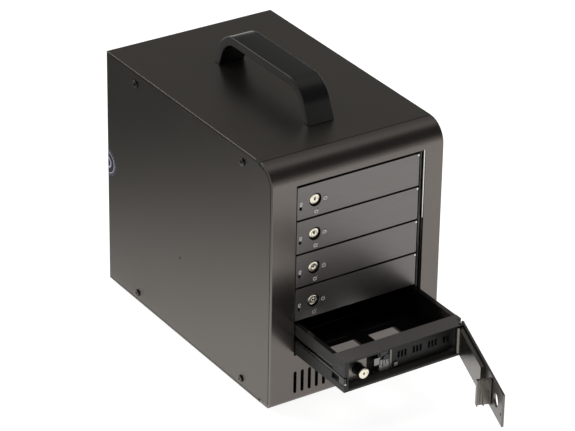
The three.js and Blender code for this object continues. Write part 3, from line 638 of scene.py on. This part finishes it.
# Parts of a lever are drawn from its hinge pin, the others from their tray's own corner or the lock's axis.


def lever_plate(bm):
    block(bm, (-102.9, 4.6), (-4.3, -2.5), (-13.3, 13.3))


def lever_plate_holes(bm):
    """Holes for the lock and for the tray's light."""
    depth = (-6, 0)
    rod(bm, "y", (LOCK_X - HINGE[0], 0), LEVER["lock_hole"], depth, 48)
    rod(bm, "y", (LIGHT_HOLE["x"] - HINGE[0], LIGHT_HOLE["z"]), LIGHT_HOLE["radius"], depth, 24)


def lever_frame(bm):
    """Beam and hinge barrel behind the face plate."""
    low, high, front = (LEVER[key] for key in ("low", "high", "front"))
    block(bm, (-59.3, -5.3), (front, 1.1), (low, high))
    block(bm, (-6.3, 0), (front, 0.4), (low, high))
    rod(bm, "z", (0, 0), LEVER["barrel"], (low, high), 40)


def lever_frame_cut(bm):
    """The pin's bore."""
    rod(bm, "z", (0, 0), LEVER["bore"], (-11, 13), 24)


def lever_hook(bm):
    """The hook's wall with its upright ribs."""
    low, high, front = (LEVER[key] for key in ("low", "high", "front"))
    block(bm, (-76.7, -74.3), (front, 8.9), (-9.6, high))
    for depth in (8.4, 3.5, -1.5):
        block(bm, (-77.9, -76.3), (depth - 0.5, depth + 0.5), (low, high))
    block(bm, (-77.2, -76.3), (5.9, 6.5), (-9.0, high - 1))


def lever_hook_window(bm):
    """The pocket that the catch's bolt enters."""
    block(bm, (-76.05, -73), (4.9, 7.9), (-3.4, 3.4))


def stroke(bm, start, end):
    """One straight stroke of an icon, printed on the face plate."""
    start, end = Vector(start), Vector(end)
    along = (end - start).normalized() * PRINT_LINE / 2
    side = along.orthogonal()
    outline = [start - along + side, end + along + side, end + along - side, start - along - side]
    prism(bm, outline, PRINT_SPAN, "y")


def padlock_icon(bm, locked):
    """A plain padlock's outline, its bow shifted aside when it isn't locked."""
    corners = PADLOCK["corners"]
    for i in range(4):
        stroke(bm, corners[i], corners[(i + 1) % 4])
    bow = arc((0 if locked else PADLOCK["shift"], PADLOCK["bow_z"]), PADLOCK["bow"], 0, 180, 8)
    for start, end in zip(bow, bow[1:]):
        stroke(bm, start, end)


def lamp_icon(bm):
    """A ring over a short line."""
    near, far = PRINT_SPAN
    lathe(bm, [(0.75, near), (1.15, near), (1.15, far), (0.75, far)], centre=(0, 0.4), sides=24, closed=True)
    stroke(bm, (-0.6, -1.3), (0.6, -1.3))


def corner_stud(bm):
    """A small bright stud at the plate's upper right corner."""
    lathe(bm, [(0, -0.3), (0.7, -0.3), (0.8, -0.2), (0.8, 1.0), (0, 1.0)], sides=20)


def lock_barrel(bm):
    lathe(bm, [(0, 16.4), (4.3, 16.4), (4.3, 1.75), (0, 1.75)], sides=48)


def lock_face(bm):
    """The plug's round face, with a recess in its middle."""
    lathe(bm, LOCK_DISC, sides=48)


def lock_mark(bm):
    """A dot that shows how far the plug is turned, and the keyhole."""
    rod(bm, "y", (2.7, 0), 0.34, (0.97, 1.2), 16)
    lathe(bm, [(0.0, 1.68), (0.8, 1.68), (0.8, 1.3), (0.5, 1.22), (0.0, 1.3)], sides=24)


def catch_body(bm):
    """The catch's slider and its bolt."""
    block(bm, (35.4, 44.2), (9.7, 14.8), (-9.0, 0.6))
    block(bm, (31.0, 36.4), (9.8, 11.8), (-3, 3))


def catch_cap(bm):
    """The black upper half, with a curl at its right and prongs over the slider."""
    block(bm, (34.8, 44.2), (10.6, 14.8), (0.4, 8.4))
    block(bm, (36.2, 42.0), (9.6, 11.2), (3.4, 6.8))
    block(bm, (39.2, 44.1), (9.5, 11.4), (-0.6, 3.0))
    rod(bm, "y", (42.2, 2.6), 1.7, (9.4, 10.8), 24)
    for x, low in PRONGS:
        block(bm, (x, x + 0.8), (9.45, 10.4), (low, 1.2))


def light_pipe(bm):
    """The pipe along the left rail, with a thicker head at its front."""
    block(bm, (0.05, 1.5), (9.0, 120), (-2.0, -0.1))
    block(bm, (0.0, 2.2), (3.0, 9.4), (-7.1, -0.6))


def pipe_lens(bm):
    lathe(bm, [(0, 2.72), (0.6, 2.76), (0.85, 2.9), (0.85, 3.4), (0, 3.4)], centre=(1.2, -5.9), sides=24)


def block_skin(bm):
    """Grey faces of the lock's block and of the catch's surround."""
    block(bm, (0.4, 24.0), (9.7, 10.1), (-10.2, 11.6))
    block(bm, (31.0, 46.5), (9.75, 10.1), (-10.2, 11.6))


def block_skin_cut(bm):
    depth = (9, 11)
    rod(bm, "y", (LOCK_X, 0), LOCK_HOLE, depth, 40)
    block(bm, (30.0, 44.8), depth, (-9.6, 9.2))


def slit_shade_strips(bm):
    """Black strips on the left end of the front bar, painted shade standing in for its upright slits."""
    for y in SLITS:
        block(bm, (-0.14, 0.1), (y, y + 0.7), (4.5, 9.2))


def floor_ribs(bm):
    """Low ribs moulded on the carrier's floor."""
    for x, start, end in LONG_RIBS:
        block(bm, (x, x + RIB_WIDTH), (start, end), RIB_HEIGHTS)
    for y, start, end in CROSS_RIBS:
        block(bm, (start, end), (y, y + RIB_WIDTH), RIB_HEIGHTS)


def detector_square(bm):
    block(bm, (48.3, 51.4), (8.9, 9.2), (-8.3, -5.0))


def paint_bar_light_and_shade(carrier, corner):
    """The ledge, the upward faces of the carrier's moulded front bar, takes a lighter colour, painted light; the
    bar's other faces and the carrier's outer sides take a much darker one, painted shade.
    """
    carrier.data.materials.append(LEDGE_PAINTED_LIGHT)
    carrier.data.materials.append(BAR_PAINTED_SHADE)
    for polygon in carrier.data.polygons:
        x, y, _ = (carrier.matrix_world @ polygon.center - corner) / MM
        towards = (carrier.matrix_world.to_3x3() @ polygon.normal).normalized()
        on_bar = y < BAR_BACK
        on_side = abs(towards.x) > 0.5 and not OUTER_SIDES[0] < x < OUTER_SIDES[1]
        if on_bar or on_side:
            # Upward faces take the lighter colour, painted light; the rest take the darker one, painted shade.
            polygon.material_index = 1 if on_bar and towards.z > 0.5 else 2


def dress_tray(number):
    """A tray with its lever, lock and catch; the lever's pieces are placed at its built angle."""
    tray, lever, lock, catch = (f"{kind}_{number}" for kind in ("tray", "lever", "lock", "catch"))
    corner = in_tray(number)
    pivot = in_tray(number, *HINGE)
    turn = math.radians(-JOINTS[f"lever_{number}_hinge"]["range_deg"][0])
    dress(f"tray_{number}_carrier", TRAY_COAT, 0.22)
    paint_bar_light_and_shade(frame["nodes"][f"tray_{number}_carrier"], corner)
    dress(f"tray_{number}_hinge_pin", SCREW, 0.15)

    for name, build, material, bevel, cut in (
        ("face", lever_plate, FACE, 0.22, lever_plate_holes),
        ("beam", lever_frame, DARK_METAL, 0.25, lever_frame_cut),
        ("hook", lever_hook, DARK_METAL, 0.2, lever_hook_window),
    ):
        obj = piece(f"{lever}_{name}", build, material, lever, pivot, turn, bevel, carve=cut)
        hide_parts(f"tray_{number}_lever")

    def on_face(x, z):
        spot = Vector((x - HINGE[0], -HINGE[1], z)) * MM
        return pivot + Matrix.Rotation(turn, 3, "Z") @ spot

    for label, x, z, locked in ICONS:
        piece(f"{lever}_icon_{label}", lambda bm, is_shut=locked: padlock_icon(bm, is_shut), PRINT, lever,
              on_face(x, z), turn)
    piece(f"{lever}_corner", corner_stud, EDGE, lever, on_face(*CORNER_STUD), turn, smooth=60)
    piece(f"{lever}_icon_lamp", lamp_icon, PRINT, lever, on_face(*LAMP_ICON), turn)

    centre = in_tray(number, LOCK_X)
    barrel = piece(f"{lock}_barrel", lock_barrel, BLACK, lock, centre, bevel=0.1)
    disc = piece(f"{lock}_disc", lock_face, NICKEL, lock, centre, smooth=50)
    mark = piece(f"{lock}_mark", lock_mark, SCREW, lock, centre)
    for obj in (barrel, disc, mark):
        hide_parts(f"tray_{number}_lock")

    lower = piece(f"{catch}_slider", catch_body, SILVER, catch, corner, bevel=0.2)
    upper = piece(f"{catch}_cap", catch_cap, BLACK, catch, corner, bevel=0.25)
    for obj in (lower, upper):
        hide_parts(f"tray_{number}_catch")

    piece(f"{tray}_light_pipe", light_pipe, BLACK, tray, corner, bevel=0.4)
    piece(f"{tray}_block_skin", block_skin, DARK_METAL, tray, corner, bevel=0.05,
          carve=block_skin_cut)
    # Painted shade: the black strips stand in for the dark insides of the slits.
    piece(f"{tray}_slits", slit_shade_strips, BLACK, tray, corner)
    piece(f"{tray}_lens", pipe_lens, LENS, tray, corner)
    piece(f"{tray}_ribs", floor_ribs, TRAY_COAT, tray, corner, bevel=0.15)
    piece(f"{tray}_detector", detector_square, SILVER, tray, corner, bevel=0.1)


# ---- inside and back ----


GUARD = {"radii": (7, 15, 22.4, 29.7, 37), "wire": 0.75, "stay": 0.72, "reach": 35.75, "ahead": -0.2}
HUB_PROFILE = [(0, -8.6), (17.6, -8.6), (18.5, -7.6), (18.5, 9.4), (0, 9.4)]
BLADES = {
    "count": 7, "root": 17.8, "tip": 36.2, "rows": 6, "lag": 10, "chord": 13.5, "chord_taper": 0.5,
    "pitch": 7.0, "pitch_taper": 0.35, "ahead": -1.0, "half": 0.45,
}  # lag and chord in degrees
PLUG_CONTACTS = {"pitch": 1.02, "count": 8, "y": (-4, 8), "z": (2.6, 3.0)}
USB_CONTACTS = {"pitch": 2.2, "count": 4, "y": (-1, 7.6), "z": (0.42, 0.5)}
USB_TONGUE = ((-5.6, 5.6), (-2.6, 8.6), (0.5, 2.1))
USB_RISES = (3.7, -3.7)  # the two openings, from the shell's middle


def guard_wires(bm):
    """Five wire rings on two crossed stays."""
    wire = GUARD["wire"]
    for radius in GUARD["radii"]:
        turns = [math.radians(degrees) for degrees in range(0, 360, 36)]
        bead = [(radius + wire * math.cos(t), wire * math.sin(t)) for t in turns]
        lathe(bm, bead, sides=72, closed=True)
    for turn in (45, 135):
        reach = GUARD["reach"] * math.sqrt(2)
        u, v = math.cos(math.radians(turn)) * reach, math.sin(math.radians(turn)) * reach
        ahead = GUARD["ahead"]
        sweep(bm, [(-u, ahead, -v), (0, ahead, 0), (u, ahead, v)], GUARD["stay"])


def blade_row(index, s):
    """Points across one blade, at a share s / rows of the way from its root to its tip."""
    share = s / BLADES["rows"]
    radius = BLADES["root"] + (BLADES["tip"] - BLADES["root"]) * s / BLADES["rows"]
    row = []
    for t in range(BLADES["rows"] + 1):
        chord = -1 + t / 3
        angle = math.radians(index * 360 / BLADES["count"] + BLADES["lag"] * share ** 1.4
                             + chord * (BLADES["chord"] - s * BLADES["chord_taper"]))
        y = BLADES["ahead"] + chord * (BLADES["pitch"] - s * BLADES["pitch_taper"]) + chord * chord
        row.append((radius * math.cos(angle), y, radius * math.sin(angle)))
    return row


def outer_loop(sheet):
    """The vertices round the border of a sheet of rows."""
    return ([row[0] for row in sheet] + sheet[-1][1:] + [row[-1] for row in reversed(sheet[:-1])]
            + list(reversed(sheet[0][1:-1])))


def rotor(bm):
    """Hub with seven curved blades."""
    lathe(bm, HUB_PROFILE, sides=48)
    for index in range(BLADES["count"]):
        rows = [blade_row(index, s) for s in range(BLADES["rows"] + 1)]
        sheets = [[[bm.verts.new((x, y + shift, z)) for x, y, z in row] for row in rows]
                  for shift in (-BLADES["half"], BLADES["half"])]
        for sheet in sheets:
            for a, b in zip(sheet, sheet[1:]):
                for k in range(len(a) - 1):
                    bm.faces.new((a[k], a[k + 1], b[k + 1], b[k]))
        front, rear = (outer_loop(sheet) for sheet in sheets)
        for k in range(len(front)):
            j = (k + 1) % len(front)
            bm.faces.new((front[k], front[j], rear[j], rear[k]))


def socket_contacts(bm, pitch, count, y, z):
    """A row of thin contact bars."""
    for i in range(count):
        x = (i - (count - 1) / 2) * pitch
        block(bm, (x - 0.2, x + 0.2), y, z)


def dress_inside():
    """Cage, boards, fan, sockets and power supply."""
    finishes = (
        (("cage_left_wall", "cage_right_wall", "cage_top", "cage_floor", "psu_case"), ZINC, 0.2),
        (("backplane_board", "main_board", "psu_board"), BOARD, 0.15),
        (("lan_port_1", "lan_port_2", "usb_port"), STEEL, 0.25),
        (("fan_frame",), MOULDED, 0.4),
        (("power_inlet",), MOULDED, 0.3),
        (("power_rocker",), BLACK, 0.4),
    )
    for nodes, material, bevel in finishes:
        for node in nodes:
            dress(node, material, bevel)
    wires = piece("guard", guard_wires, STEEL, "chassis", middle_of("fan_guard"), smooth=60)
    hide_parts("fan_guard")
    hub = Vector(JOINTS["fan_spin"]["pos_m"])
    wheel = piece("impeller", rotor, MOULDED, "fan_rotor", hub, smooth=40)
    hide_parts("fan_rotor")
    for node in ("lan_port_1", "lan_port_2"):
        piece(f"{node}_contacts", lambda bm: socket_contacts(bm, **PLUG_CONTACTS), GOLD, "chassis",
              middle_of(node))
    for k, rise in enumerate(USB_RISES):
        spot = middle_of("usb_port") + Vector((0, 0, rise)) * MM
        piece(f"usb_tongue_{k + 1}", lambda bm: block(bm, *USB_TONGUE), BLACK, "chassis", spot,
              bevel=0.2)
        piece(f"usb_contacts_{k + 1}", lambda bm: socket_contacts(bm, **USB_CONTACTS), GOLD, "chassis",
              spot)


studio()
dress_case()
for tray_number in TRAYS:
    dress_tray(tray_number)
dress_inside()

bpy.context.view_layer.update()
